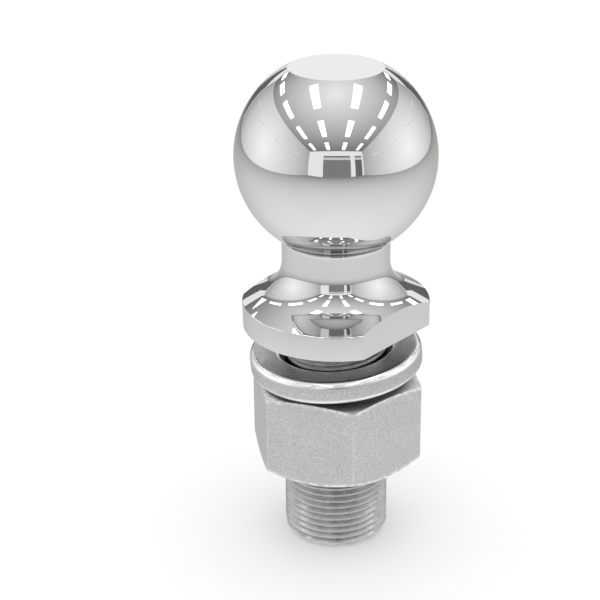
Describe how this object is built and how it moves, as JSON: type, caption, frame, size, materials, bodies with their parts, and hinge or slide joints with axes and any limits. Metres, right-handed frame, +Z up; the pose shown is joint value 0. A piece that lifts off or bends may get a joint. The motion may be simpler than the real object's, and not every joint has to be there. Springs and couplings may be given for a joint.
{
  "type": "gooseneck hitch ball",
  "caption": "Chromed trailer hitch ball on a necked, wrench-flatted collar and threaded shank, with split lock washer and hex nut.",
  "frame": {"origin": "centre of the shank's flat end face, which the part stands on", "axes": "+Z up the shank's axis to the ball; +X and -X are the normals of the collar's two wrench flats"},
  "size_m": [0.0588, 0.0588, 0.148],
  "materials": {
    "stud_chrome": "mirror chrome plating on the ball, neck and collar",
    "shank_satin": "satin plated, machined thread",
    "washer_zinc": "satin zinc plate, rolled wire",
    "nut_zinc": "satin zinc plate over forged faces"
  },
  "bodies": {
    "stud": {"ball_stud": "stud_chrome"},
    "washer": {"lock_washer": "washer_zinc"},
    "nut": {"hex_nut": "nut_zinc"}
  },
  "joints": [
    {"name": "washer_travel", "type": "slide", "parent": "stud", "child": "washer", "axis": [0, 0, 1], "range_m": [-0.0256, 0.0032]},
    {"name": "nut_turn", "type": "hinge", "parent": "washer", "child": "nut", "pos_m": [0, 0, 0.0396], "axis": [0, 0, 1], "range_deg": [-4350, 540]}
  ],
  "couplings": [
    {"joint": "washer_travel", "follows": "nut_turn", "m_per_rad": 0.00033688}
  ]
}
